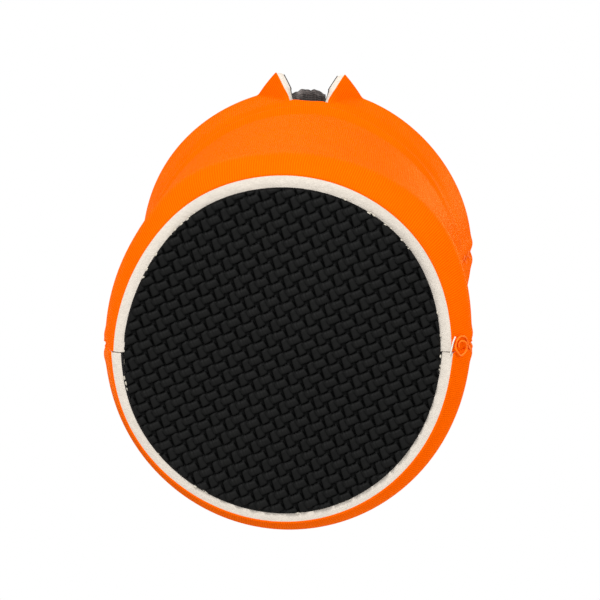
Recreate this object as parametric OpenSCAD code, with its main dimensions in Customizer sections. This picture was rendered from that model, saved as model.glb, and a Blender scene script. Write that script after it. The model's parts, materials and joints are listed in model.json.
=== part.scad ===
// Insulating drink sleeve: two laminated neoprene panels butt-joined at the sides,
// closed by an inset grip base, with a notched mouth and a webbing pull tab.
// The sleeve stands on its base. +Z is up the bore and -Y is the front.

/* [Sleeve] */
// Radius of the bore that grips the can
bore_r = 33.2; // [30:0.1:40]
// Height of the mouth rim above the ground
sleeve_h = 105; // [98:1:130]
// Height of the wall's cut bottom edge above the ground
wall_z0 = 1; // [0.6:0.1:1.4]

/* [Laminate] */
// Thickness of the black lining ply
lining_t = 0.4; // [0.3:0.05:0.6]
// Thickness of the white foam ply
foam_t = 2.2; // [1.5:0.1:3.5]
// Thickness of the orange knit ply
knit_t = 0.4; // [0.3:0.05:0.6]

/* [Base] */
// Radius of the base disc
base_r = 32.5; // [29:0.1:39]
// Thickness of the textured rubber tread
tread_t = 1.4; // [1.2:0.1:2.5]
// Thickness of the base's foam core
base_foam_t = 2.8; // [2:0.1:4]
// Thickness of the cement film round the disc
cement_t = 0.25; // [0.2:0.05:0.4]

/* [Shape] */
// How far the wall swells just above the base
swell = 2.8; // [0:0.1:3.5]
// How far the mouth flares at the rim
flare = 3.2; // [2.6:0.1:3.6]

/* [Notch and pull tab] */
// Half width of the notch at its bottom
notch_w = 4.5; // [4.2:0.1:6]
// Depth of the notch below the rim
notch_d = 6; // [4:0.5:8]
// How far the notch's folded corners stand out from the rim
tip_out = 4.2; // [1:0.1:6]
// Width of the webbing pull tab
tab_w = 7.8; // [5:0.1:7.8]

/* [Hidden] */

ORANGE = [1.0, 0.40, 0.02];
CREAM = [0.90, 0.87, 0.82];
BLACK = [0.06, 0.06, 0.06];
CHARCOAL = [0.16, 0.15, 0.15];
AMBER = [0.75, 0.68, 0.52];

// Where the wall's profile changes, as heights above the ground
hug_z = 3.4;      // the wall hugs the base disc up to here
ridge_z = 8.6;    // widest ring of the swell
waist_z = 22;     // the straight bore starts here
flare_z = 85;     // and ends here
hug_r = base_r + cement_t;

wall_t = lining_t + foam_t + knit_t;
ply_lining = [0, lining_t];
ply_foam = [lining_t, lining_t + foam_t];
ply_knit = [lining_t + foam_t, wall_t];

seam_gap = 0.33;       // degrees of cement film between the panels' butted edges
notch_top_w = 11.7;    // half width of the notch where it meets the rim
tip_x = 8.4;           // place of a folded corner's tip, from the middle
tip_drop = 0.5;        // how far the tip lies below the rim
root = 0.5;            // a folded corner runs this far into the wall
ply_gap = 0.03;        // from a folded corner's faces to those of its ply
stitch_r = 0.2;        // needle thread
stitch_half_w = 1.6;   // half width of the zigzag
stitch_pitch = 2.4;    // rise of one stitch
stitch_z0 = 3.2;
bobbin_r = 0.06;       // bobbin thread
needle_gap = 0.08;     // needle thread to knit
bobbin_gap = 0.02;     // bobbin thread to lining
hole = 0.15;           // a stitch ends this far short of its needle hole
eps = 0.01;

tab_t = 0.35;          // webbing thickness
fold_y = -34;          // fold line that the tab's loop swings on
fold_z = 96.6;
foot_z0 = 91.6;        // the tab's foot is sewn to the lining between these heights
foot_z1 = 96;

// 0 to 1 with level ends
function ease(t) = (1 - cos(180 * min(1, max(0, t)))) / 2;

// Radius of the lining's inner face at height z
function inner_r(z) =
  z < ridge_z ? hug_r + (bore_r + swell - hug_r) * ease((z - hug_z) / (ridge_z - hug_z))
  : z < waist_z ? bore_r + swell * (1 - ease((z - ridge_z) / (waist_z - ridge_z)))
  : z <= flare_z ? bore_r
  : bore_r + flare * pow((z - flare_z) / (sleeve_h - flare_z), 1.4);

wall_heights = concat(
  [wall_z0],
  [for (i = [0:6]) hug_z + (ridge_z - hug_z) * i / 6],
  [for (i = [1:8]) ridge_z + (waist_z - ridge_z) * i / 8],
  [for (i = [0:8]) flare_z + (sleeve_h - flare_z) * i / 8]
);

// Section of one ply, as radius and height
module ply_section(ply) {
  last = len(wall_heights) - 1;
  polygon(concat(
    [for (i = [0:last]) [inner_r(wall_heights[i]) + ply[0], wall_heights[i]]],
    [for (i = [last:-1:0]) [inner_r(wall_heights[i]) + ply[1], wall_heights[i]]]
  ));
}

// Half of the wall, short of each seam by half the cement film
module half_wall(ply, side) {
  rotate([0, 0, side * 90 - 90 + seam_gap / 2]) rotate_extrude(angle = 180 - seam_gap, $fn = 96)
    ply_section(ply);
}

// The piece that is cut away at the mouth, corners included
module notch_cut() {
  slope = (notch_top_w - notch_w) / notch_d;
  over = 2;
  rotate([90, 0, 0]) linear_extrude(height = 60) polygon([
    [-notch_w, sleeve_h - notch_d], [notch_w, sleeve_h - notch_d],
    [notch_top_w + over * slope, sleeve_h + over],
    [-notch_top_w - over * slope, sleeve_h + over]
  ]);
}

// A point on the front of the wall at x and z, d outside the lining's inner face
function on_front(x, z, d) = [x, -sqrt(pow(inner_r(z) + d, 2) - x * x), z];

// Tip of a folded corner at depth d
function corner_tip(d) = [
  tip_x,
  -sqrt(pow(inner_r(sleeve_h) + tip_out + d, 2) - tip_x * tip_x),
  sleeve_h - tip_drop
];

// Outline of a folded corner at depth d in the laminate: two root points in the
// wall, the fold line's lower end, the tip, and the fold line's upper end
function corner_line(d) = [
  on_front(notch_top_w + root, sleeve_h - root / 2, d),
  on_front(notch_w + root, sleeve_h - notch_d - root, d),
  on_front(notch_w, sleeve_h - notch_d, d),
  corner_tip(d),
  on_front(notch_top_w, sleeve_h, d)
];

module folded_corner(ply) {
  polyhedron(
    points = concat(corner_line(ply[0] + ply_gap), corner_line(ply[1] - ply_gap)),
    faces = [
      [2, 1, 0], [4, 2, 0], [3, 2, 4],
      [5, 6, 7], [5, 7, 9], [9, 7, 8],
      [5, 0, 1], [6, 5, 1], [6, 1, 2], [7, 6, 2], [7, 2, 3], [8, 7, 3],
      [8, 3, 4], [9, 8, 4], [9, 4, 0], [5, 9, 0]
    ]
  );
}

module front_panel(ply) {
  difference() {
    half_wall(ply, -1);
    notch_cut();
  }
  folded_corner(ply);
  mirror([1, 0, 0]) folded_corner(ply);
}

module front_panel_knit() { color(ORANGE) front_panel(ply_knit); }
module front_panel_foam() { color(CREAM) front_panel(ply_foam); }
module front_panel_lining() { color(BLACK) front_panel(ply_lining); }
module rear_panel_knit() { color(ORANGE) half_wall(ply_knit, 1); }
module rear_panel_foam() { color(CREAM) half_wall(ply_foam, 1); }
module rear_panel_lining() { color(BLACK) half_wall(ply_lining, 1); }

base_top = tread_t + base_foam_t + lining_t;

// Rubber skin with a worn round edge. Its underside is what the sleeve stands on.
module base_tread() {
  edge = 0.3;
  color(BLACK) {
    cylinder(h = edge, r1 = base_r - edge, r2 = base_r, $fn = 96);
    translate([0, 0, edge - eps]) cylinder(h = tread_t - edge + eps, r = base_r, $fn = 96);
  }
}

module base_foam() {
  color(BLACK) translate([0, 0, tread_t]) cylinder(h = base_foam_t, r = base_r, $fn = 96);
}

module base_lining() {
  color(BLACK) translate([0, 0, tread_t + base_foam_t])
    cylinder(h = lining_t, r = base_r, $fn = 96);
}

// Film between the disc's edge and the wall, with a bead squeezed up inside
module base_cement() {
  gap = 0.05;
  bead = 1.1;
  wall_side = inner_r(base_top) - gap;
  steps = 4;
  curve = [for (i = [0:steps]) hug_z + (base_top - hug_z) * i / steps];
  color(AMBER) rotate_extrude($fn = 96) polygon(concat(
    [[base_r + gap, wall_z0], [hug_r - gap, wall_z0]],
    [for (z = curve) [inner_r(z) - gap, z]],
    [
      [wall_side, base_top + bead * 0.6],
      [base_r - bead, base_top + gap], [base_r + gap, base_top + gap]
    ]
  ));
}

// Film in the butt joint on the +X side
module seam_cement() {
  color(AMBER) rotate([0, 0, -seam_gap / 2]) rotate_extrude(angle = seam_gap, $fn = 96)
    ply_section([0, wall_t]);
}

// Thread from a to b
module thread(a, b, r) {
  d = b - a;
  long = norm(d);
  translate(a) rotate([0, acos(d[2] / long), atan2(d[1], d[0])])
    translate([0, 0, hole]) cylinder(h = long - 2 * hole, r = r, $fn = 16);
}

// Zigzag along the +X seam. side is 1 for the outer face and -1 for the bore, and
// first leaves out the stitches below the one it names.
module zigzag(side, r, gap, first) {
  count = floor((sleeve_h - stitch_z0 - 2) / stitch_pitch);
  face = side > 0 ? wall_t : 0;
  for (k = [first:count - 1]) {
    za = stitch_z0 + k * stitch_pitch;
    zb = za + stitch_pitch;
    y = (k % 2 == 0 ? -1 : 1) * stitch_half_w;
    ra = inner_r(za) + face;
    rb = inner_r(zb) + face;
    hump = max(0, side * (inner_r((za + zb) / 2) + face - (ra + rb) / 2));
    off = side * (r + gap + hump);
    thread(
      [sqrt(pow(ra + off, 2) - y * y), y, za],
      [sqrt(pow(rb + off, 2) - y * y), -y, zb],
      r
    );
  }
}

module right_seam_cement() { seam_cement(); }
module left_seam_cement() { rotate([0, 0, 180]) seam_cement(); }
module right_seam_stitches() { color(ORANGE) zigzag(1, stitch_r, needle_gap, 0); }
module left_seam_stitches() { color(ORANGE) rotate([0, 0, 180]) zigzag(1, stitch_r, needle_gap, 0); }
module right_seam_bobbin_thread() { color(BLACK) zigzag(-1, bobbin_r, bobbin_gap, 1); }
module left_seam_bobbin_thread() { color(BLACK) rotate([0, 0, 180]) zigzag(-1, bobbin_r, bobbin_gap, 1); }

// Loose end of the right seam's needle thread, curled at the foot of the seam
module thread_tail() {
  curl = 0.9;
  color(ORANGE) translate([hug_r + wall_t + 0.25, -stitch_half_w - 1, 2.3]) rotate([0, 90, 0])
    rotate_extrude(angle = 300, $fn = 48) translate([curl, 0]) circle(r = stitch_r, $fn = 16);
}

function unit(v) = v / norm(v);

// One edge of a strip of webbing that follows a line of points; side is 1 or -1
function strip_edge(line, side) = [for (i = [0:len(line) - 1])
  let (
    last = len(line) - 1,
    into = unit(line[max(i, 1)] - line[max(i, 1) - 1]),
    away = unit(line[min(i + 1, last)] - line[min(i + 1, last) - 1]),
    mid = unit(into + away)
  )
  line[i] + side * tab_t / 2 / (mid * away) * [-mid[1], mid[0]]
];

// Side view of the webbing loop, from its fold line: y outward is negative, z up
module loop_section() {
  front = [[0, 0], [-0.3, 3.2], [-1.4, 4.6], [-4.4, 6.2], [-5.1, 6.8]];
  back = [[0, 0], [0, 3.6], [-0.9, 6], [-4.2, 7.9], [-5.1, 6.8]];
  tip_inside = [-4.75, 6.85];
  back_outer = strip_edge(back, -1);
  front_inner = strip_edge(front, -1);
  back_inner = strip_edge(back, 1);
  difference() {
    polygon(concat(strip_edge(front, 1), [for (i = [4:-1:0]) back_outer[i]]));
    polygon(concat([for (i = [1:3]) front_inner[i]], [tip_inside], [for (i = [3:-1:1]) back_inner[i]]));
  }
}

// Folded webbing loop that swings on the fold above its sewn foot
module pull_tab_loop() {
  color(CHARCOAL) translate([-tab_w / 2, fold_y, fold_z]) rotate([90, 0, 90])
    linear_extrude(height = tab_w) loop_section();
}

// Flat end of the webbing, sewn to the front panel's lining below the fold
module pull_tab_foot() {
  gap = 0.03;
  half_angle = asin(tab_w / 2 / bore_r);
  steps = 4;
  zs = [for (i = [0:steps]) foot_z0 + (foot_z1 - foot_z0) * i / steps];
  color(CHARCOAL) rotate([0, 0, -90 - half_angle]) rotate_extrude(angle = 2 * half_angle, $fn = 96)
    polygon(concat(
      [for (i = [0:steps]) [inner_r(zs[i]) - gap, zs[i]]],
      [for (i = [steps:-1:0]) [inner_r(zs[i]) - gap - tab_t, zs[i]]]
    ));
}

// Row of dense stitches that holds the foot to the lining
module pull_tab_bartack() {
  count = 13;
  r = 0.07;
  z = foot_z0 + 1.4;
  long = 1.6;
  depth = inner_r(z) - tab_t - 0.08;
  color(BLACK) for (i = [0:count - 1]) {
    x = (i / (count - 1) - 0.5) * (tab_w - 0.8);
    translate([x, -sqrt(pow(depth, 2) - x * x) + r, z]) cylinder(h = long, r = r, $fn = 16);
  }
}

front_panel_knit();
front_panel_foam();
front_panel_lining();
rear_panel_knit();
rear_panel_foam();
rear_panel_lining();
base_tread();
base_foam();
base_lining();
base_cement();
left_seam_cement();
right_seam_cement();
left_seam_stitches();
right_seam_stitches();
left_seam_bobbin_thread();
right_seam_bobbin_thread();
thread_tail();
pull_tab_loop();
pull_tab_foot();
pull_tab_bartack();
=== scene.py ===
"""Looks of a neoprene drink sleeve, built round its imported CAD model.

The shapes are worked out in millimetres and turned into metres as each mesh is made.
Round the wall, phi is 0 at the front (-Y) and grows towards +X. Depth runs through the
laminate, from 0 on the lining's inner face to WALL_T on the knit's outer face.
"""
import json
import math

import bpy
import numpy as np
from mathutils import Matrix, Vector


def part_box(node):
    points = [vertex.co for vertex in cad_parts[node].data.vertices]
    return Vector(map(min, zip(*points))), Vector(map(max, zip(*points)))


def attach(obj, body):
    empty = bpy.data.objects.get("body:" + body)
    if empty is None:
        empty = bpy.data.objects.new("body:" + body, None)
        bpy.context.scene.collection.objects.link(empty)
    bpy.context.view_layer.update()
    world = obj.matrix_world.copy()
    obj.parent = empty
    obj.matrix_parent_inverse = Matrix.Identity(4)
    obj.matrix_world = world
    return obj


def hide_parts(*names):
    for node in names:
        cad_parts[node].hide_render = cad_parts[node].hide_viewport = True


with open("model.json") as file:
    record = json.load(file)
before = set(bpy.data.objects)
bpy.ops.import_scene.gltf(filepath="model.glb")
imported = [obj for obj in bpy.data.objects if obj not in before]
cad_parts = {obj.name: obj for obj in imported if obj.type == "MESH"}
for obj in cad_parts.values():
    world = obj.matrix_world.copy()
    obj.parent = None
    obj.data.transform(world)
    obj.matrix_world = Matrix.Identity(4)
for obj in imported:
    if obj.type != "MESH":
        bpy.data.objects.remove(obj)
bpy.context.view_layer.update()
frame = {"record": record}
rng = np.random.default_rng(7)

MM = 0.001
UV_MM = 10                   # length that one unit of the cloth map stands for


def cad(node):
    """Lowest and highest corner of a CAD node, in millimetres."""
    low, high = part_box(node)
    return np.array(low) / MM, np.array(high) / MM


# ---------------------------------------------------------------- sizes from the frame

TREAD_R = cad("base_tread")[1][0]
TREAD_TOP = cad("base_tread")[1][2]
CORE_TOP = cad("base_foam")[1][2]
FLOOR_TOP = cad("base_lining")[1][2]
WALL_Z0, RIM_Z = cad("rear_panel_knit")[0][2], cad("rear_panel_knit")[1][2]
KNIT_T = cad("rear_panel_knit")[1][0] - cad("rear_panel_foam")[1][0]
FOAM_T = cad("rear_panel_foam")[1][0] - cad("rear_panel_lining")[1][0]
LINING_T = KNIT_T
RIM_R = cad("rear_panel_lining")[1][0] - LINING_T
BORE_R = next(m for m in frame["record"]["mounts"] if m["name"] == "can_bore")["dims"]["r_mm"]
FOLD = frame["record"]["behaviour"]["joints"][0]["pos_m"]
FOLD_Y, FOLD_Z = FOLD[1] / MM, FOLD[2] / MM
TAB_W = 1.06 * (cad("pull_tab_loop")[1][0] - cad("pull_tab_loop")[0][0])
FOOT_Z0, FOOT_Z1 = cad("pull_tab_foot")[0][2], cad("pull_tab_foot")[1][2]

# The relaxed wall: how it hugs the base, swells, narrows and flares
HUG_R = TREAD_R + 0.6
HUG_Z = 1.4
RIDGE_Z = 9.5
RIDGE_R = 36.3
WAIST_Z = 26
FLARE_Z = 84
REF = LINING_T + FOAM_T      # depth of the face that the plies are measured from
FLARE_CURVE = 1.2            # 1 would flare in a straight cone
ARC_R = 38.0                 # radius that turns angles into lengths of cloth
SEAM_GAP = math.radians(0.75)
SEAMS = (-math.pi / 2, math.pi / 2)

# Where the wall isn't round, in millimetres off the profile
OVAL = 1.15                  # the foot is longer from front to back than across
OVAL_Z, OVAL_FADE = 14, 40   # it fades out above this height, over this much
SWELLINGS = [(2.1, 52, 27), (1.2, -30, 16)]    # near the base: size, middle and width in degrees
SWELLING_Z, SWELLING_H = 11, 9                 # their height, and how far up and down they reach
EDGE_BULGE, EDGE_BULGE_H = 1.4, 6              # the raw edge reaches out at the rear left
BULGE_MIDDLE, BULGE_WIDTH = math.radians(-109), math.radians(34)
CREASE_OUT, CREASE_IN = 1.15, 0.7              # the fold that runs round the front below the notch,
CREASE_Z, CREASE_STEP = FLARE_Z + 3.5, 4.5     # its height, and the rise from ridge to valley
CREASE_WIDTH = 1.2                             # in radians
SOFTNESS = 0.16                                # slow waves all over the wall
SEAM_RIDGE, SEAM_VALLEY = 0.28, 0.3
PROUD_LEFT, PROUD_RIGHT = 0.45, 0.35           # step from panel to panel at the base
LEAN_FOOT, LEAN_MOUTH = 0.7, 0.5               # sideways lean of the foot and of the mouth

# The foam at the raw edge: a bulge by the left seam, and how it is squeezed all round
FOAM_BULGE = 0.33
FOAM_SQUEEZE, THICKER_FRONT, THICKER_RIGHT = 0.1, 0.35, 0.12

# The notch and its two folded corners, as lengths along the front of the mouth
NOTCH_MID = 1.4
NOTCH_W = 4.4
NOTCH_D = 9.0
NOTCH_TOP_W = 11.9
FOLD_ANGLE = math.radians(64)
FOLD_BEND = 0.9                                # radius of the bend
FOLD_SET_IN = 0.7                              # the fold lies this far inside the notch's side
FOLD_START, FOLD_RUN = 2.6, 6.2                # where the corner starts to turn, and over what length
FOLD_REACH = 0.6                               # radians from the front that hold both corners


# ---------------------------------------------------------------- the wall's shape

def ease(t):
    """0 to 1 with level ends."""
    return (1 - np.cos(np.pi * np.clip(t, 0, 1))) / 2


def hump(x, middle, width):
    """Bell curve, 1 at its middle."""
    return np.exp(-((x - middle) / width) ** 2)


def wrapped(phi, middle):
    """Angle from middle to phi, between -pi and pi."""
    return (phi - middle + np.pi) % (2 * np.pi) - np.pi


def profile(z):
    """Mean radius of the lining's inner face."""
    up_swell = np.clip((z - HUG_Z) / (RIDGE_Z - HUG_Z), 0, 1)
    up_flare = np.clip((z - FLARE_Z) / (RIM_Z - FLARE_Z), 0, 1)
    swell = HUG_R + (RIDGE_R - HUG_R) * np.sin(np.pi / 2 * up_swell)
    waist = BORE_R + (RIDGE_R - BORE_R) * (1 - ease((z - RIDGE_Z) / (WAIST_Z - RIDGE_Z)))
    flare = BORE_R + (RIM_R - BORE_R) * up_flare ** FLARE_CURVE
    return np.where(z < RIDGE_Z, swell, np.where(z < WAIST_Z, waist, flare))


def shape(phi, z):
    """Inner radius with everything that isn't round: the oval foot, swellings, creases and seams."""
    r = profile(z)
    r = r + OVAL * np.cos(2 * phi) * (1 - ease((z - OVAL_Z) / OVAL_FADE))
    near_base = hump(z, SWELLING_Z, SWELLING_H)
    for size, middle, width in SWELLINGS:
        r = r + size * near_base * hump(phi, math.radians(middle), math.radians(width))
    r = r + EDGE_BULGE * hump(z, 0, EDGE_BULGE_H) * hump(wrapped(phi, BULGE_MIDDLE), 0, BULGE_WIDTH)
    crease = hump(wrapped(phi, 0), 0, CREASE_WIDTH)
    ridge = CREASE_Z + 0.9 * np.sin(4 * phi + 0.6) + 0.5 * np.sin(9 * phi)
    valley = ridge + CREASE_STEP
    r = r + crease * (CREASE_OUT * hump(z, ridge, 1.9) - CREASE_IN * hump(z, valley, 2.6))
    soft = np.sin(3 * phi + z / 17) * np.sin(z / 23 + 1.3) + 0.7 * np.sin(5 * phi - z / 13 + 2)
    r = r + SOFTNESS * soft * ease((z - 6) / 20)
    sewn = ease((z - 2.5) / 6)
    for seam in SEAMS:
        arc = np.abs(wrapped(phi, seam)) * ARC_R
        r = r + sewn * (SEAM_RIDGE * hump(arc, 2.1, 1.2) - SEAM_VALLEY * hump(arc, 0, 0.8))
    return r


def proud(phi, z):
    """The rear panel's ends stand a little outside the front panel's at the seams."""
    left, right = (wrapped(phi, seam) * ARC_R for seam in SEAMS)
    step = np.where(left < 0, PROUD_LEFT * np.exp(np.minimum(left, 0) / 5), 0)
    step = np.where((right > 0) & (right < 20), PROUD_RIGHT * np.exp(-np.maximum(right, 0) / 4), step)
    return step * hump(z, 0, 8)


def fold_corner(along, z):
    """Folds the notch's corners outwards. Returns the place on the unfolded wall and the
    distance out from it."""
    run, rise = NOTCH_TOP_W - NOTCH_W, NOTCH_D
    length = math.hypot(run, rise)
    side = np.where(along < 0, -1.0, 1.0)
    a, h = np.abs(along) - NOTCH_W, z - (RIM_Z - NOTCH_D)
    past = (-rise * a + run * h) / length + FOLD_SET_IN
    down_line = (run * a + rise * h) / length
    angle = FOLD_ANGLE * ease((down_line + FOLD_START) / FOLD_RUN)
    bend = FOLD_BEND * angle
    turned = np.clip(past, 0, bend) / FOLD_BEND
    straight = np.clip(past - bend, 0, None)
    flat = FOLD_BEND * np.sin(turned) + straight * np.cos(angle)
    out = FOLD_BEND * (1 - np.cos(turned)) + straight * np.sin(angle)
    back = np.where(past > 0, flat - past, 0)
    a_new = a + NOTCH_W + back * -rise / length
    z_new = z + back * run / length
    return side * a_new, z_new, np.where(past > 0, out, 0)


def drawn_shut(phi, z):
    """The stitches close most of the gap between the panels everywhere but at the raw edge."""
    for seam in SEAMS:
        off = wrapped(phi, seam)
        pull = np.minimum(np.abs(off), SEAM_GAP / 2) * np.exp(-np.abs(off) * ARC_R / 3)
        phi = phi - 0.9 * np.sign(off) * pull * ease((z - 1.0) / 1.1)
    return phi


def reference(phi, z, step=1.0):
    """The laminate's face at depth REF. step scales how far the rear panel stands proud."""
    phi = drawn_shut(phi, z)
    near = np.abs(phi) < FOLD_REACH
    along, z_new, out = fold_corner(phi * ARC_R - NOTCH_MID, z)
    use = near & (out > 0)
    p = np.where(use, (along + NOTCH_MID) / ARC_R, phi)
    h = np.where(use, z_new, z)
    out = np.where(use, out, 0)
    r = shape(p, h) + step * proud(p, h) + REF
    rise = 0.2
    slope = (shape(p, h + rise) - shape(p, h - rise)) / (2 * rise)
    tilt = 1 / np.sqrt(1 + slope ** 2)
    lean = LEAN_FOOT * hump(h, 11, 10) + LEAN_MOUTH * ease((h - 55) / 45)
    x = (r + out * tilt) * np.sin(p) + lean
    y = -(r + out * tilt) * np.cos(p)
    return np.stack([x, y, h - out * slope * tilt], -1)


def wall(phi, z, depth):
    """A point in the laminate."""
    phi, z, depth = np.broadcast_arrays(*(np.asarray(v, float) for v in (phi, z, depth)))
    turn = 2e-3
    across = reference(phi + turn, z) - reference(phi - turn, z)
    up = reference(phi, z + turn * ARC_R) - reference(phi, z - turn * ARC_R)
    normal = np.cross(across, up)
    normal /= np.linalg.norm(normal, axis=-1, keepdims=True)
    return reference(phi, z) + (depth - REF)[..., None] * normal


def foam_inner(phi, z):
    """Depth where the lining ends and the foam starts. By the left seam the cut foam bulges
    inwards, unevenly."""
    arc = wrapped(phi, -np.pi / 2) * ARC_R
    ragged = 1 + 0.3 * np.sin(9 * arc)
    return LINING_T - FOAM_BULGE * ragged * hump(arc, 1.6, 1.5) * hump(z, 0, 2.5)


def foam_outer(phi, z):
    """Depth where the foam ends and the knit starts. The foam is squeezed at the base."""
    squeezed = FOAM_T - FOAM_SQUEEZE + THICKER_FRONT * np.cos(phi) + THICKER_RIGHT * np.sin(phi)
    return LINING_T + FOAM_T + (squeezed - FOAM_T) * hump(z, 0, 6)


def knit_outer(phi, z):
    """Depth of the knit's outer face."""
    return foam_outer(phi, z) + KNIT_T


def at_depth(depth):
    """A ply's depth that is the same everywhere."""
    return lambda phi, z: np.full(np.broadcast(phi, z).shape, float(depth))


def stations(*stops):
    """Values from stop to stop. Each stop is (value, spacing up to it)."""
    out = [stops[0][0]]
    for (low, _), (high, spacing) in zip(stops, stops[1:]):
        count = max(1, round((high - low) / spacing))
        out += [low + (high - low) * (i + 1) / count for i in range(count)]
    return np.array(out)


# ---------------------------------------------------------------- mesh makers

def make_object(name, verts, faces, uv=None, smooth=True):
    mesh = bpy.data.meshes.new(name)
    mesh.from_pydata((np.asarray(verts) * MM).tolist(), [], faces)
    if uv is not None:
        layer = mesh.uv_layers.new(name="cloth")
        loops = np.zeros(len(mesh.loops), int)
        mesh.loops.foreach_get("vertex_index", loops)
        layer.data.foreach_set("uv", np.asarray(uv, float)[loops].ravel())
    mesh.polygons.foreach_set("use_smooth", [smooth] * len(mesh.polygons))
    mesh.validate()
    obj = bpy.data.objects.new(name, mesh)
    bpy.context.scene.collection.objects.link(obj)
    return obj


def sharpen(obj, degrees):
    """Marks the edges between faces that meet at a steep angle as sharp."""
    obj.data.set_sharp_from_angle(angle=math.radians(degrees))
    return obj


def shell(name, across, up, place, low, high, layers=1, crown=0.0, rough=0.0, keep=None):
    """Closed piece between two depths of a surface. across and up are the grid's values,
    place(a, b, depth) puts a point, and keep(a, b) says by its middle if a cell stays.
    Cut edges have rows of points in layers. They bulge by crown and wander by rough."""
    a, b = np.meshgrid(across, up)
    rows, cols = a.shape
    low_d, high_d = low(a, b), high(a, b)
    mid_a, mid_b = (a[:-1, :-1] + a[1:, 1:]) / 2, (b[:-1, :-1] + b[1:, 1:]) / 2
    cells = np.ones(mid_a.shape, bool) if keep is None else keep(mid_a, mid_b)
    index = np.arange(rows * cols).reshape(rows, cols)
    quads = np.stack([index[:-1, :-1], index[:-1, 1:], index[1:, 1:], index[1:, :-1]], -1)[cells]
    used = np.unique(quads)
    new = np.full(rows * cols, -1)
    new[used] = np.arange(len(used))
    quads = new[quads]
    n = len(used)
    outer = place(a, b, high_d).reshape(-1, 3)[used]
    inner = place(a, b, low_d).reshape(-1, 3)[used]
    uv = np.stack([a.ravel() * ARC_R / UV_MM, b.ravel() / UV_MM], -1)[used]
    verts, uvs = [outer, inner], [uv, uv]
    faces = quads.tolist() + (quads[:, ::-1] + n).tolist()

    edges = {}
    for q in quads.tolist():
        for s, t in zip(q, q[1:] + q[:1]):
            edges[(s, t)] = True
    rim = [e for e in edges if (e[1], e[0]) not in edges]
    rim_verts = sorted({v for e in rim for v in e})
    outward = {v: np.zeros(3) for v in rim_verts}
    for q in quads.tolist():
        centre = outer[q].mean(0)
        for v in q:
            if v in outward:
                outward[v] += outer[v] - centre
    ladder = {v: [v] for v in rim_verts}
    count = 2 * n
    flat_a, flat_b = a.ravel()[used], b.ravel()[used]
    lo, hi = low_d.ravel()[used], high_d.ravel()[used]
    if layers > 1:
        ids = np.array(rim_verts)
        out_dir = np.array([outward[v] / (np.linalg.norm(outward[v]) + 1e-9) for v in rim_verts])
        for k in range(1, layers):
            t = k / layers
            depth = hi[ids] + (lo[ids] - hi[ids]) * t
            wander = crown * (1 - (2 * t - 1) ** 2) + rough * rng.normal(size=len(ids))
            verts.append(place(flat_a[ids], flat_b[ids], depth) + out_dir * wander[:, None])
            uvs.append(uv[ids] + [0, 0.01 * k])
            for i, v in enumerate(rim_verts):
                ladder[v].append(count + i)
            count += len(ids)
    for v in rim_verts:
        ladder[v].append(v + n)
    for s, t in rim:
        for k in range(layers):
            faces.append([ladder[t][k], ladder[s][k], ladder[s][k + 1], ladder[t][k + 1]])
    return make_object(name, np.concatenate(verts), faces, np.concatenate(uvs))


def tube(name, paths, radius, sides=8):
    """Round threads along lists of points, closed at their ends."""
    verts, faces, uvs = [], [], []
    for path in paths:
        path = np.asarray(path, float)
        step = np.gradient(path, axis=0)
        step /= np.linalg.norm(step, axis=1, keepdims=True) + 1e-12
        side = np.cross(step[0], [0.31, 0.52, 0.8])
        run = np.concatenate([[0], np.cumsum(np.linalg.norm(np.diff(path, axis=0), axis=1))])
        start = len(verts)
        for i, (p, d) in enumerate(zip(path, step)):
            side = side - d * side.dot(d)
            side /= np.linalg.norm(side)
            other = np.cross(d, side)
            for k in range(sides):
                t = 2 * math.pi * k / sides
                verts.append(p + radius * (math.cos(t) * side + math.sin(t) * other))
                uvs.append([k / sides, run[i] / UV_MM])
        for i in range(len(path) - 1):
            for k in range(sides):
                a, b = start + i * sides + k, start + i * sides + (k + 1) % sides
                faces.append([a, b, b + sides, a + sides])
        faces.append([start + k for k in reversed(range(sides))])
        faces.append([start + (len(path) - 1) * sides + k for k in range(sides)])
    return make_object(name, verts, faces, uvs)


def spline(points, per_span=8):
    """Smooth line through points."""
    p = np.asarray(points, float)
    p = np.concatenate([[2 * p[0] - p[1]], p, [2 * p[-1] - p[-2]]])
    out = []
    for i in range(1, len(p) - 2):
        for t in np.arange(per_span) / per_span:
            a, b, c, d = p[i - 1:i + 3]
            out.append(0.5 * (2 * b + (c - a) * t + (2 * a - 5 * b + 4 * c - d) * t ** 2
                              + (3 * b - a - 3 * c + d) * t ** 3))
    out.append(p[-2])
    return np.array(out)


def disc_grid(count):
    """Points of a square grid eased into the unit disc, as rows and columns."""
    s = np.linspace(-1, 1, count)
    a, b = np.meshgrid(s, s)
    wide = np.abs(a) > np.abs(b)
    r = np.where(wide, a, b)
    with np.errstate(divide="ignore", invalid="ignore"):
        t = np.where(wide, np.pi / 4 * b / a, np.pi / 2 - np.pi / 4 * a / b)
    t = np.nan_to_num(t)
    return r * np.cos(t), r * np.sin(t)


# ---------------------------------------------------------------- materials

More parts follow.
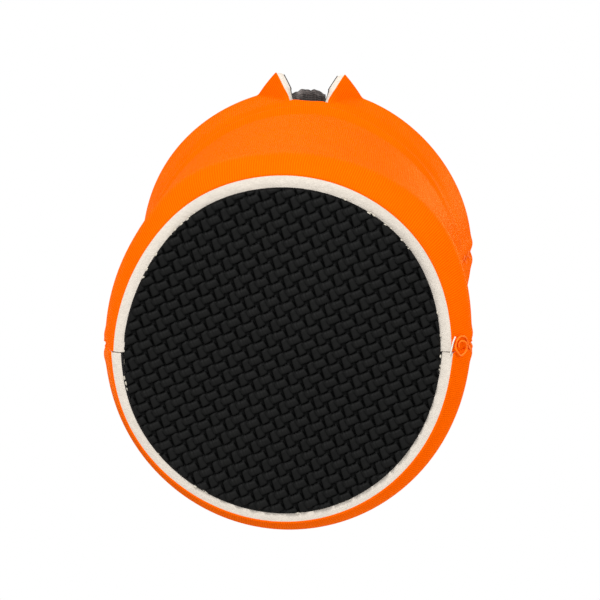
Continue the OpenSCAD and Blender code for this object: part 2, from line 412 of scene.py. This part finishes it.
class Nodes:
    """Short way to write a material's nodes."""

    def __init__(self, name):
        self.material = bpy.data.materials.new(name)
        self.material.use_nodes = True
        self.tree = self.material.node_tree
        self.shader = self.tree.nodes["Principled BSDF"]

    def join(self, value, socket):
        if isinstance(value, bpy.types.NodeSocket):
            self.tree.links.new(value, socket)
        else:
            socket.default_value = value

    def math(self, operation, *values):
        node = self.tree.nodes.new("ShaderNodeMath")
        node.operation = operation
        for value, socket in zip(values, node.inputs):
            self.join(value, socket)
        return node.outputs[0]

    def cloth(self):
        """The cloth coordinates, in millimetres."""
        uv = self.tree.nodes.new("ShaderNodeUVMap")
        uv.uv_map = "cloth"
        return [self.math("MULTIPLY", axis, UV_MM) for axis in self.axes(uv.outputs[0])[:2]]

    def axes(self, vector):
        split = self.tree.nodes.new("ShaderNodeSeparateXYZ")
        self.join(vector, split.inputs[0])
        return split.outputs

    def place(self):
        return self.tree.nodes.new("ShaderNodeTexCoord").outputs["Object"]

    def pattern(self, kind, size_mm):
        """Texture node whose pattern is about size_mm large on the object."""
        mapping = self.tree.nodes.new("ShaderNodeMapping")
        self.join(self.place(), mapping.inputs[0])
        mapping.inputs["Scale"].default_value = [1 / (size_mm * MM)] * 3
        texture = self.tree.nodes.new(kind)
        self.join(mapping.outputs[0], texture.inputs["Vector"])
        texture.inputs["Scale"].default_value = 1.0
        return texture

    def noise(self, size_mm, detail=3.0, rough=0.55):
        noise = self.pattern("ShaderNodeTexNoise", size_mm)
        noise.inputs["Detail"].default_value = detail
        noise.inputs["Roughness"].default_value = rough
        return noise.outputs[0]

    def wave(self, value, pitch):
        """0 to 1 wave of a coordinate in millimetres."""
        turned = self.math("MULTIPLY_ADD", value, 2 * math.pi / pitch, 0.0)
        return self.math("MULTIPLY_ADD", self.math("SINE", turned), 0.5, 0.5)

    def mix(self, factor, first, second):
        node = self.tree.nodes.new("ShaderNodeMix")
        node.data_type = "RGBA"
        self.join(factor, node.inputs[0])
        for value, socket in ((first, node.inputs[6]), (second, node.inputs[7])):
            self.join(value if isinstance(value, bpy.types.NodeSocket) else (*value, 1), socket)
        return node.outputs[2]

    def bump(self, height, distance_mm):
        node = self.tree.nodes.new("ShaderNodeBump")
        node.inputs["Strength"].default_value = 1.0
        node.inputs["Distance"].default_value = distance_mm * MM
        self.join(height, node.inputs["Height"])
        return node.outputs[0]

    def finish(self, colour, roughness, normal=None, **sockets):
        """Sets the shader. The other sockets are named with _ for each space."""
        self.join(colour, self.shader.inputs["Base Color"])
        self.join(roughness, self.shader.inputs["Roughness"])
        if normal is not None:
            self.join(normal, self.shader.inputs["Normal"])
        for key, value in sockets.items():
            self.join(value, self.shader.inputs[key.replace("_", " ")])
        return self.material


def jersey(name, bright, dark, wale, course, relief, fuzz_weight, fuzz_tint, fuzz_roughness):
    """Single jersey: upright ribs of slanting stitches. wale is the ribs' pitch and course
    the stitches', in millimetres."""
    m = Nodes(name)
    u, v = m.cloth()
    drift = m.math("MULTIPLY_ADD", m.noise(6.0, 2.0), wale * 1.2, u)
    rib = m.wave(drift, wale)
    legs = m.math("MULTIPLY_ADD", rib, course * 0.8, v)
    stitch = m.wave(legs, course)
    height = m.math("MULTIPLY_ADD", stitch, 0.28, m.math("MULTIPLY", rib, 0.72))
    fuzz = m.noise(0.35, 4.0, 0.7)
    height = m.math("MULTIPLY_ADD", fuzz, 0.16, height)
    blotch = m.noise(9.0, 3.0)
    # Painted shade: the colour is darker in the hollows between ribs and stitches and lighter on the
    # raised yarn, with blotches of tone.
    shade = m.math("MULTIPLY_ADD", height, 0.75, m.math("MULTIPLY_ADD", blotch, 0.3, -0.08))
    colour = m.mix(m.math("MINIMUM", shade, 1.0), dark, bright)
    return m.finish(colour, 0.85, m.bump(height, relief), Sheen_Weight=fuzz_weight,
                    Sheen_Roughness=fuzz_roughness, Sheen_Tint=(*fuzz_tint, 1),
                    Specular_IOR_Level=0.0)


def foam_material(name, light, shadow, cell):
    """Closed-cell foam, cut with a blade."""
    m = Nodes(name)
    cells = m.pattern("ShaderNodeTexVoronoi", cell)
    pores = m.math("MINIMUM", m.math("MULTIPLY", cells.outputs[0], 1.6), 1.0)
    cloud = m.noise(2.2, 4.0, 0.6)
    tone = m.math("MULTIPLY_ADD", cloud, 0.75, m.math("MULTIPLY", pores, 0.4))
    colour = m.mix(m.math("MINIMUM", tone, 1.0), shadow, light)
    height = m.math("MULTIPLY_ADD", pores, 0.5, cloud)
    return m.finish(colour, 0.9, m.bump(height, 0.12), Specular_IOR_Level=0.1)


GROOVE_DEPTH = 0.62          # height above the ground where the grooves' colour is full


def rubber_material():
    """Black rubber: greyer crests with dust and scuffs, and grooves darkened with painted shade."""
    m = Nodes("tread_rubber")
    grain = m.noise(0.22, 5.0, 0.65)
    dust = m.noise(2.6, 5.0, 0.7)
    depth = m.math("DIVIDE", m.axes(m.place())[2], GROOVE_DEPTH * MM)
    crest = m.math("SUBTRACT", 1.0, m.math("MINIMUM", m.math("MAXIMUM", depth, 0.0), 1.0))
    # Painted shade: the colour darkens from the crests down into the grooves. The lighter crest colour
    # is partly dust and scuffs and partly painted highlight.
    scuff_and_groove_shade = m.math("MULTIPLY", crest, m.math("MULTIPLY_ADD", dust, 1.3, 0.15))
    scuff_and_groove_shade = m.math("MULTIPLY_ADD", grain, 0.25, m.math("SUBTRACT", scuff_and_groove_shade, 0.1))
    groove_shade, wear_and_highlight = (0.0004, 0.0005, 0.0005), (0.0078, 0.0079, 0.0075)
    colour = m.mix(m.math("MINIMUM", scuff_and_groove_shade, 1.0), groove_shade, wear_and_highlight)
    rough = m.math("MULTIPLY_ADD", dust, 0.16, 0.5)
    return m.finish(colour, rough, m.bump(grain, 0.04), Specular_IOR_Level=0.09)


TWIST_PITCH = 0.75           # length of one turn of the thread's plies


def thread_material(name, bright, dark):
    """Twisted thread: slanting plies round the tube."""
    m = Nodes(name)
    u, v = m.cloth()
    along = m.math("MULTIPLY", v, 2 * math.pi / TWIST_PITCH)
    twist = m.math("MULTIPLY_ADD", u, 2 * math.pi / UV_MM, along)
    ply = m.math("MULTIPLY_ADD", m.math("SINE", m.math("MULTIPLY", twist, 2)), 0.5, 0.5)
    fuzz = m.noise(0.15, 3.0, 0.6)
    # Painted shade: darker between the plies and lighter on them, with fuzzy tone.
    colour = m.mix(m.math("MULTIPLY_ADD", fuzz, 0.3, m.math("MULTIPLY", ply, 0.7)), dark, bright)
    return m.finish(colour, 0.6, m.bump(ply, 0.06), Specular_IOR_Level=0.06)


def webbing_material():
    """Ribbed woven tape, lighter on the ribs and darker in the grooves by painted shade, with lighter
    patches of painted highlight.
    """
    m = Nodes("webbing_weave")
    u, v = m.cloth()
    rib_pitch, yarn_pitch = 0.55, 0.42
    rib = m.wave(v, rib_pitch)
    yarn = m.wave(u, yarn_pitch)
    height = m.math("MULTIPLY_ADD", yarn, 0.3, m.math("MULTIPLY", rib, 0.7))
    patch = m.noise(3.6, 3.0, 0.6)
    wear_and_highlight = m.math("MULTIPLY", m.math("SUBTRACT", patch, 0.5), 4.5)
    wear_and_highlight = m.math("MAXIMUM", m.math("MINIMUM", wear_and_highlight, 1.0), 0.0)
    groove_shade, crest, painted_highlight = (0.012, 0.009, 0.008), (0.05, 0.041, 0.038), (0.22, 0.195, 0.185)
    # Painted shade between ribs and yarns, with lighter patches of painted highlight over it.
    colour = m.mix(wear_and_highlight, m.mix(height, groove_shade, crest), painted_highlight)
    return m.finish(colour, 0.7, m.bump(height, 0.12), Sheen_Weight=0.2, Sheen_Roughness=0.4,
                    Specular_IOR_Level=0.25)


def cement_material():
    """Dried contact cement, cloudy and a little glossy."""
    m = Nodes("dried_cement")
    cloud = m.noise(0.8, 4.0, 0.6)
    colour = m.mix(cloud, (0.33, 0.29, 0.22), (0.62, 0.58, 0.5))
    return m.finish(colour, 0.42, m.bump(cloud, 0.08), Specular_IOR_Level=0.4)


KNIT = jersey("orange_jersey", (0.97, 0.142, 0.0006), (0.8, 0.08, 0.0), 0.5, 0.36, 0.14,
              0.28, (1.0, 0.52, 0.14), 0.12)
LINING = jersey("black_jersey", (0.022, 0.021, 0.021), (0.006, 0.006, 0.006), 0.55, 0.4, 0.09,
                0.35, (0.55, 0.5, 0.5), 0.45)
FOAM = foam_material("white_foam", (0.635, 0.58, 0.51), (0.555, 0.495, 0.425), 0.18)
CORE = foam_material("black_foam", (0.02, 0.02, 0.02), (0.008, 0.008, 0.008), 0.2)
RUBBER = rubber_material()
ORANGE_THREAD = thread_material("orange_thread", (1.0, 0.23, 0.015), (0.92, 0.13, 0.001))
BLACK_THREAD = thread_material("black_thread", (0.03, 0.03, 0.03), (0.006, 0.006, 0.006))
WHITE_THREAD = thread_material("white_thread", (0.88, 0.84, 0.78), (0.65, 0.6, 0.54))
WEBBING = webbing_material()
CEMENT = cement_material()


def dress(obj, material, body="sleeve", instead_of=()):
    """Gives a piece its finish, its body and the CAD nodes it stands for."""
    obj.data.materials.clear()
    obj.data.materials.append(material)
    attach(obj, body)
    if instead_of:
        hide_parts(*instead_of)
    return obj


# ---------------------------------------------------------------- camera

CAMERA_DISTANCE = 0.650
CAMERA_PLACE = Vector((0.0505, -0.2318, -0.9714)) * CAMERA_DISTANCE
AIM = Vector((0.0038, -0.0113, 0.0))
camera_data = bpy.data.cameras.new("camera")
camera_data.lens = 188.8
camera_data.sensor_width = 36
camera_data.clip_end = 10
camera = bpy.data.objects.new("camera", camera_data)
bpy.context.scene.collection.objects.link(camera)
forward = (AIM - CAMERA_PLACE).normalized()
right = (Vector((1, 0, 0)) - forward * forward.x).normalized()
camera.matrix_world = Matrix.Translation(CAMERA_PLACE) @ Matrix(
    (right, right.cross(forward), -forward)).transposed().to_4x4()
bpy.context.scene.camera = camera


# ---------------------------------------------------------------- wall panels

WALL_ROWS = stations((WALL_Z0, 1), (4, 0.45), (22, 0.75), (FLARE_Z - 2, 2.2),
                     (RIM_Z - NOTCH_D, 0.6), (RIM_Z, 0.33))
fine = (NOTCH_TOP_W + 3.5) / ARC_R          # half angle of the finer columns round the notch
mid, notch = NOTCH_MID / ARC_R, NOTCH_W / ARC_R
quarter = math.pi / 2 - SEAM_GAP / 2        # from the front to the front panel's ends
mm = 1 / ARC_R                              # angle that a millimetre of cloth takes
FRONT_COLS = stations((-quarter, 1), (-quarter + 5 * mm, 0.5 * mm), (mid - fine, 1.2 * mm),
                      (mid - notch, 0.36 * mm), (mid + notch, 0.6 * mm), (mid + fine, 0.36 * mm),
                      (quarter - 5 * mm, 1.2 * mm), (quarter, 0.5 * mm))
REAR_COLS = stations((quarter + SEAM_GAP, 1), (quarter + SEAM_GAP + 5 * mm, 0.5 * mm),
                     (2 * math.pi - quarter - SEAM_GAP - 5 * mm, 1.2 * mm),
                     (2 * math.pi - quarter - SEAM_GAP, 0.5 * mm))


def outside_notch(phi, z):
    """Whether a cell of the front panel lies outside the notch."""
    return ~((np.abs(phi - mid) < notch) & (z > RIM_Z - NOTCH_D))


def panel(side, ply, low, high, material, slot, **edges):
    """One ply of the front or the rear panel."""
    columns = FRONT_COLS if side == "front" else REAR_COLS
    obj = shell(f"{side}_{ply}", columns, WALL_ROWS, wall, low, high,
                keep=outside_notch if side == "front" else None, **edges)
    return dress(sharpen(obj, 50), material, instead_of=[f"{side}_panel_{ply}"])


for side in ("front", "rear"):
    foam = panel(side, "foam", foam_inner, foam_outer, FOAM, "foam",
                 layers=7, crown=0.1, rough=0.03)
    knit = panel(side, "knit", foam_outer, knit_outer, KNIT, "knit", layers=2, crown=0.05)
    lining = panel(side, "lining", at_depth(0), foam_inner, LINING, "lining", layers=2, crown=0.05)


# ---------------------------------------------------------------- base

YARN = 2.3                       # pitch of the moulded weave
YARN_TURN = math.radians(-28.3)  # it runs askew to the front
RELIEF = 0.75                    # depth of the grooves
LYING, STANDING = (0.62, 0.42), (0.57, 0.45)    # a float's half length and half width, in pitches
SKEW = 0.12                      # lying floats tilt by this slope
EDGE = 0.7                       # rounding of the tread's edge
BASE_GAP = 0.12                  # from the disc to the wall's lining


def brick(along, across, half_l, half_w):
    """One raised float of the moulded weave, rounded over its width and its ends."""
    over = np.clip(1 - np.abs(across / half_w) ** 2.6, 0, 1) ** 0.6
    ends = np.clip(1 - np.abs(along / half_l) ** 5, 0, 1) ** 0.5
    return over * ends


def weave_height(x, y):
    """Moulded basket weave, from 0 in the grooves to 1 on the crests."""
    c, s = math.cos(YARN_TURN), math.sin(YARN_TURN)
    p, q = (c * x + s * y) / YARN, (-s * x + c * y) / YARN
    height = np.zeros(np.shape(p))
    for step_p in (-1, 0, 1):
        for step_q in (-1, 0, 1):
            col, row = np.floor(p) + step_p, np.floor(q) + step_q
            dp, dq = p - col - 0.5, q - row - 0.5
            lies = (row + col) % 2 == 0
            ripple = 0.06 * np.cos(2 * np.pi * dp / 0.28) * (dp < 0.05)
            lying = brick(dp, dq - SKEW * dp, *LYING) * (0.97 - 0.12 * dp) * (1 + ripple)
            wedge = ease((dp + 0.34 + 0.2 * dq) / 0.2)
            standing = brick(dq, dp - 0.04, *STANDING) * 0.9 * wedge
            height = np.maximum(height, np.where(lies, lying, standing))
    return height


def base_edge(angle, inset):
    """Outline of the base disc: it fills the oval that the wall's inner face makes."""
    phi = angle + math.pi / 2
    edge = reference(phi, np.full(np.shape(phi), 2.0), step=0)
    r = np.hypot(edge[..., 0], edge[..., 1]) - REF - inset
    return r * np.cos(angle), r * np.sin(angle)


def base_disc(name, count, bottom, top, inset, plain_top=False):
    """Disc that fills the foot of the wall, between the heights bottom(x, y, to_edge) and
    top(x, y, to_edge). A plain top is one flat face."""
    gx, gy = disc_grid(count)
    far = np.hypot(gx, gy)
    angle = np.arctan2(gy, gx)
    ex, ey = base_edge(angle, inset)
    x, y = far * ex, far * ey
    to_edge = (1 - far) * TREAD_R
    rows, cols = x.shape
    index = np.arange(rows * cols).reshape(rows, cols)
    quads = np.stack([index[:-1, :-1], index[1:, :-1], index[1:, 1:], index[:-1, 1:]], -1)
    low = np.stack([x, y, bottom(x, y, to_edge)], -1).reshape(-1, 3)
    rim = np.concatenate([index[0, :-1], index[:-1, -1], index[-1, :0:-1], index[:0:-1, 0]])
    high = np.stack([x, y, top(x, y, to_edge)], -1).reshape(-1, 3)
    n = rows * cols
    faces = quads.reshape(-1, 4).tolist()
    loop = rim.tolist()
    if plain_top:
        verts = np.concatenate([low, high[rim]])
        up = {v: n + i for i, v in enumerate(loop)}
        faces.append([n + i for i in range(len(loop))])
    else:
        verts = np.concatenate([low, high])
        up = {v: v + n for v in loop}
        faces += (quads.reshape(-1, 4)[:, ::-1] + n).tolist()
    for s, t in zip(loop, loop[1:] + loop[:1]):
        faces.append([s, t, up[t], up[s]])
    uv = verts[:, :2] / UV_MM
    return sharpen(make_object(name, verts, faces, uv), 60)


def tread_face(x, y, to_edge):
    """Moulded weave with a rounded edge, in slow waves."""
    wear_and_highlight = EDGE - np.sqrt(np.clip(EDGE ** 2 - np.clip(EDGE - to_edge, 0, EDGE) ** 2, 0, None))
    soft = 0.12 * np.sin(x / 11 + 1) * np.sin(y / 14)
    deep = RELIEF * (1.05 - weave_height(x, y))
    return np.clip(deep + 0.06 + soft * 0.3, 0, None) + 0.5 * wear_and_highlight


def floor_face(x, y, to_edge):
    """The inner floor's upper face, wavy and glued down along its edge."""
    return FLOOR_TOP + 0.25 * np.sin(x / 9) * np.sin(y / 12 + 1) - 0.15 * hump(to_edge, 0, 4)


def flat_at(height):
    """A face of a base disc that is flat."""
    return lambda x, y, to_edge: np.full(np.shape(x), float(height))


tread = base_disc("tread", 400, tread_face, flat_at(TREAD_TOP), BASE_GAP, plain_top=True)
dress(tread, RUBBER, instead_of=["base_tread"])
core = base_disc("base_core", 60, flat_at(TREAD_TOP), flat_at(CORE_TOP), BASE_GAP)
dress(core, CORE, instead_of=["base_foam"])
inner_floor = base_disc("inner_floor", 90, flat_at(CORE_TOP), floor_face, BASE_GAP)
dress(inner_floor, LINING, instead_of=["base_lining"])


def cement_bead():
    """Film round the disc, and the uneven bead squeezed up inside it."""
    angles = np.linspace(0, 2 * np.pi, 361)[:-1]
    lumps = 1 + 0.25 * np.sin(7 * angles) * np.sin(3 * angles + 1) + 0.12 * np.sin(19 * angles)
    film = 0.1       # points nearer to the wall than this belong to the film
    section = [(0.09, 1.3), (0.03, 1.3), (0.03, FLOOR_TOP), (0.03, FLOOR_TOP + 0.9),
               (0.35, FLOOR_TOP + 0.75), (0.9, FLOOR_TOP + 0.3), (1.25, FLOOR_TOP - 0.1),
               (0.09, FLOOR_TOP - 0.1)]
    verts, faces, rings = [], [], len(section)
    for angle, lump in zip(angles, lumps):
        for inset, z in section:
            above = max(0.0, z - FLOOR_TOP)
            ex, ey = base_edge(np.array(angle), inset * (lump if inset > film else 1))
            verts.append([float(ex), float(ey), z + above * (lump - 1)])
    total = len(angles)
    for i in range(total):
        for k in range(rings):
            a, b = i * rings + k, i * rings + (k + 1) % rings
            c, d = ((i + 1) % total) * rings + (k + 1) % rings, ((i + 1) % total) * rings + k
            faces.append([a, d, c, b])
    return make_object("cement_bead", verts, faces)


dress(cement_bead(), CEMENT, instead_of=["base_cement"])


def blob(centre, size, along, seed):
    """One dried drip: a small lumpy drop, longer along the edge it clings to."""
    draw = np.random.default_rng(seed)
    rows, cols = 7, 10
    verts, faces = [], []
    out = np.array([along[1], -along[0], 0.0])
    verts.append(centre + np.array([0, 0, -0.45 * size]))
    for r in range(1, rows):
        t = math.pi * r / rows
        for c in range(cols):
            s = 2 * math.pi * c / cols
            k = size * (0.5 + 0.12 * draw.random())
            verts.append(centre + along * 1.5 * k * math.sin(t) * math.cos(s)
                         + out * 0.7 * k * math.sin(t) * math.sin(s)
                         + np.array([0, 0, -0.9 * k * math.cos(t)]))
    verts.append(centre + np.array([0, 0, 0.45 * size]))
    last = len(verts) - 1
    for c in range(cols):
        faces.append([0, 1 + (c + 1) % cols, 1 + c])
        faces.append([last, last - cols + c, last - cols + (c + 1) % cols])
        for r in range(rows - 2):
            a, b = 1 + r * cols + c, 1 + r * cols + (c + 1) % cols
            faces.append([a, b, b + cols, a + cols])
    return verts, faces


def cement_specks():
    """Specks of cement along the joint between the disc and the wall. Each span is from and
    to, in degrees round the wall, and how many."""
    height = 0.72
    spans = [(-62, -28, 11), (20, 50, 9), (62, 100, 5), (150, 215, 7), (-130, -85, 5)]
    verts, faces = [], []
    for low, high, count in spans:
        for _ in range(count):
            phi = math.radians(rng.uniform(low, high))
            size = rng.uniform(0.25, 0.6)
            x, y = base_edge(np.array(phi - math.pi / 2), rng.uniform(-0.12, 0.22))
            along = np.array([math.cos(phi), math.sin(phi), 0])
            seed = int(rng.integers(1 << 30))
            v, f = blob(np.array([float(x), float(y), height]), size, along, seed)
            faces += [[i + len(verts) for i in face] for face in f]
            verts += v
    return make_object("cement_specks", verts, faces)


dress(cement_specks(), CEMENT)


# ---------------------------------------------------------------- seams

STITCH_PITCH, STITCH_HALF_W = 2.4, 1.6
STITCH_Z0 = 3.2
STITCHES = int((RIM_Z - STITCH_Z0 - 2) / STITCH_PITCH)
# One stitch from needle hole to needle hole: share of the way, and height off the face
STITCH_ARCH = [(0, -0.6), (0.05, -0.1), (0.15, 0.06), (0.5, 0.1), (0.85, 0.06), (0.95, -0.1), (1, -0.6)]
BOBBIN_LIFT = 0.45           # height of the bobbin thread's arch, as a share of the needle thread's


def seam_film(name, seam):
    """Cement between the two panels' butted edges."""
    columns = np.linspace(seam - SEAM_GAP / 2, seam + SEAM_GAP / 2, 3)
    rows = stations((WALL_Z0 + 2.2, 1), (RIM_Z - 0.4, 1.5))
    return shell(name, columns, rows, wall, at_depth(LINING_T),
                 lambda phi, z: foam_outer(phi, z) - 0.1)


def zigzag(name, seam, side, radius, first):
    """Zigzag of thread up a seam, on the outer face (side 1) or in the bore (side -1), from
    stitch number first."""
    path = []
    for k in range(first, STITCHES):
        start = STITCH_HALF_W if (k % 2 == 0) == (seam < 0) else -STITCH_HALF_W
        for t, lift in STITCH_ARCH[:-1] if k < STITCHES - 1 else STITCH_ARCH:
            phi = seam + start * (1 - 2 * t) / ARC_R
            z = STITCH_Z0 + (k + t) * STITCH_PITCH
            surface = knit_outer(phi, z) if side > 0 else 0.0
            rise = lift if side > 0 else lift * BOBBIN_LIFT
            path.append(wall(phi, z, surface + side * (rise + radius * 0.2)))
    return tube(name, [np.array(path)], radius)


for name, seam in zip(("left", "right"), SEAMS):
    dress(seam_film(f"{name}_seam_film", seam), CEMENT,
          instead_of=[f"{name}_seam_cement"])
    dress(zigzag(f"{name}_needle_thread", seam, 1, 0.2, 2), ORANGE_THREAD,
          instead_of=[f"{name}_seam_stitches"])
    dress(zigzag(f"{name}_bobbin", seam, -1, 0.12, 1), BLACK_THREAD,
          instead_of=[f"{name}_seam_bobbin_thread"])


def at_seam(points):
    """Points given as (distance round from the right seam, height, distance off the knit)."""
    out = []
    for along, z, off in points:
        phi = math.pi / 2 + along / ARC_R
        out.append(wall(phi, z, float(knit_outer(phi, z)) + off))
    return out


def thread_loops():
    """Loose end of the needle thread, in two small loops at the foot of the right seam."""
    loose = at_seam([(1.5, 7.6, 0.0), (0.6, 6.6, 0.3), (-1.0, 5.8, 0.35), (-2.5, 4.8, 0.35),
                     (-3.2, 3.3, 0.35), (-2.7, 2.1, 0.4), (-1.3, 1.5, 0.5), (0.2, 1.8, 0.55),
                     (1.1, 2.9, 0.5), (0.8, 4.3, 0.4), (-0.5, 4.8, 0.7), (-1.7, 4.4, 0.65),
                     (-2.2, 3.4, 0.4), (-1.8, 2.7, 0.3), (-1.0, 2.7, 0.3)])
    return tube("thread_loops", [spline(loose, 7)], 0.19)


def basting_tail():
    """White thread end that pokes out between the foam and the knit."""
    line = at_seam([(0.1, 1.6, -0.75), (0.0, 0.75, -0.75), (-0.6, 0.6, -0.4), (-1.5, 0.55, -0.2),
                    (-2.6, 0.5, 0.05), (-3.7, 0.55, 0.5)])
    return tube("basting_tail", [spline(line, 6)], 0.16)


dress(thread_loops(), ORANGE_THREAD, instead_of=["thread_tail"])
dress(basting_tail(), WHITE_THREAD)


# ---------------------------------------------------------------- pull tab

TAPE_T = 0.35
FOOT_GAP = 0.05              # from the tab's foot to the lining
# Side view of the loop, as y and z from the fold line
LOOP_SIDE = [(0.1, 0.0), (-0.3, 3.1), (-1.3, 4.6), (-3.2, 5.7), (-4.6, 6.3), (-5.2, 6.9),
             (-4.6, 7.5), (-3.0, 6.9), (-0.9, 5.5), (0.05, 3.4), (0.16, 0.2)]


def tape_line():
    """Side view of the folded tape, evenly spaced: distance along it, y and z."""
    line = spline([(0, y + FOLD_Y, z + FOLD_Z) for y, z in LOOP_SIDE], 10)
    run = np.concatenate([[0], np.cumsum(np.linalg.norm(np.diff(line, axis=0), axis=1))])
    even = np.linspace(0, run[-1], 90)
    return even, np.interp(even, run, line[:, 1]), np.interp(even, run, line[:, 2])


TAPE_RUN, TAPE_Y, TAPE_Z = tape_line()


def tape_mid(x, run):
    """Middle of the tape's thickness, creased where it has been pulled."""
    y = np.interp(run, TAPE_RUN, TAPE_Y)
    z = np.interp(run, TAPE_RUN, TAPE_Z)
    free = np.clip((z - FOLD_Z - 2.6) / 4, 0, 1)
    edge = (x / (TAB_W / 2)) ** 2
    crease = 0.35 * np.sin(1.9 * x + 0.8) + 0.2 * np.sin(4.3 * x + run * 0.5)
    y = y + free * (1.0 * edge + 0.5 * crease)
    z = z + free * (-0.55 * edge + 0.35 * crease + 0.15 * np.sin(6 * x))
    return np.stack([x + NOTCH_MID, y, z], -1)


def tape(x, run, depth):
    """A point in the tape, at a depth from its middle."""
    x, run, depth = np.broadcast_arrays(x, run, depth)
    step = 0.02
    across = tape_mid(x + step, run) - tape_mid(x - step, run)
    along = tape_mid(x, run + step) - tape_mid(x, run - step)
    normal = np.cross(across, along)
    normal /= np.linalg.norm(normal, axis=-1, keepdims=True) + 1e-12
    return tape_mid(x, run) + np.asarray(depth)[..., None] * normal


loop = shell("tab_loop", stations((-TAB_W / 2, 1), (TAB_W / 2, 0.2)), TAPE_RUN, tape,
             at_depth(-TAPE_T / 2), at_depth(TAPE_T / 2), layers=2, crown=0.06)
for entry in loop.data.uv_layers["cloth"].data:
    entry.uv[0] /= ARC_R         # shell() takes its columns for angles, and these are lengths
dress(loop, WEBBING, body="pull_tab", instead_of=["pull_tab_loop"])

foot_cols = mid + stations((-TAB_W / 2, 1), (TAB_W / 2, 0.4)) / ARC_R
foot_rows = stations((FOOT_Z0, 1), (FOOT_Z1, 0.4))
foot = shell("tab_foot", foot_cols, foot_rows, wall, at_depth(-FOOT_GAP - TAPE_T), at_depth(-FOOT_GAP),
             layers=2, crown=0.04)
dress(foot, WEBBING, instead_of=["pull_tab_foot"])


def bartack():
    """Dense zigzag across the tab's foot."""
    face = -FOOT_GAP - TAPE_T
    low, middle, high = FOOT_Z0 + 1.3, FOOT_Z0 + 2.2, FOOT_Z0 + 3.1
    turns = np.arange(27)
    path = [wall(mid + (k / turns[-1] - 0.5) * (TAB_W - 0.8) / ARC_R, low if k % 2 else high, face - 0.1)
            for k in turns]
    rail = [wall(mid + share * (TAB_W - 0.6) / ARC_R, middle, face - 0.06)
            for share in np.linspace(-0.5, 0.5, 13)]
    return tube("bartack", [np.array(path), np.array(rail)], 0.1)


dress(bartack(), BLACK_THREAD, instead_of=["pull_tab_bartack"])


# ---------------------------------------------------------------- floor, light and world

def floor_material():
    """Pale floor that only shows from above, so that it never hides the base."""
    m = Nodes("pale_floor")
    colour = m.mix(m.noise(300, 2.0), (0.83, 0.83, 0.82), (0.87, 0.87, 0.86))
    m.finish(colour, 0.9, Specular_IOR_Level=0.1)
    back = m.tree.nodes.new("ShaderNodeNewGeometry").outputs["Backfacing"]
    clear = m.tree.nodes.new("ShaderNodeBsdfTransparent")
    pick = m.tree.nodes.new("ShaderNodeMixShader")
    m.join(back, pick.inputs[0])
    m.join(m.shader.outputs[0], pick.inputs[1])
    m.join(clear.outputs[0], pick.inputs[2])
    m.join(pick.outputs[0], m.tree.nodes["Material Output"].inputs["Surface"])
    return m.material


FLOOR_HALF, FLOOR_Z = 2500, -0.3
corners = [(x * FLOOR_HALF, y * FLOOR_HALF, FLOOR_Z) for x, y in ((-1, -1), (1, -1), (1, 1), (-1, 1))]
floor = make_object("floor", corners, [[0, 1, 2, 3]], smooth=False)
floor.data.materials.append(floor_material())
floor.visible_shadow = False
floor.visible_diffuse = False
floor.visible_glossy = False
floor.visible_transmission = False


def softbox(name, place, size, power):
    """Round area light, aimed at the middle of the sleeve. Metres and watts."""
    data = bpy.data.lights.new(name, "AREA")
    data.shape = "DISK"
    data.size = size
    data.energy = power
    light = bpy.data.objects.new(name, data)
    light.location = place
    light.rotation_mode = "QUATERNION"
    light.rotation_quaternion = (Vector((0, 0, 0.05)) - Vector(place)).to_track_quat("-Z", "Y")
    light.visible_camera = False
    bpy.context.scene.collection.objects.link(light)


softbox("key", (-0.25, -0.9, 0.75), 0.6, 4)
softbox("rim", (0.7, 0.5, 0.6), 0.5, 3)
softbox("under", (-0.15, -0.85, -0.6), 0.35, 9)
softbox("side", (0.85, -0.35, -0.35), 0.5, 2)

world = bpy.data.worlds.new("studio")
world.use_nodes = True
tree = world.node_tree
sky = tree.nodes["Background"]
seen = tree.nodes.new("ShaderNodeBackground")
seen.inputs["Color"].default_value = (1, 1, 1, 1)
sky.inputs["Color"].default_value = (1, 1, 1, 1)
sky.inputs["Strength"].default_value = 0.95
pick = tree.nodes.new("ShaderNodeMixShader")
tree.links.new(tree.nodes.new("ShaderNodeLightPath").outputs["Is Camera Ray"], pick.inputs[0])
tree.links.new(sky.outputs[0], pick.inputs[1])
tree.links.new(seen.outputs[0], pick.inputs[2])
tree.links.new(pick.outputs[0], tree.nodes["World Output"].inputs["Surface"])
bpy.context.scene.world = world
bpy.context.scene.view_settings.view_transform = "Standard"
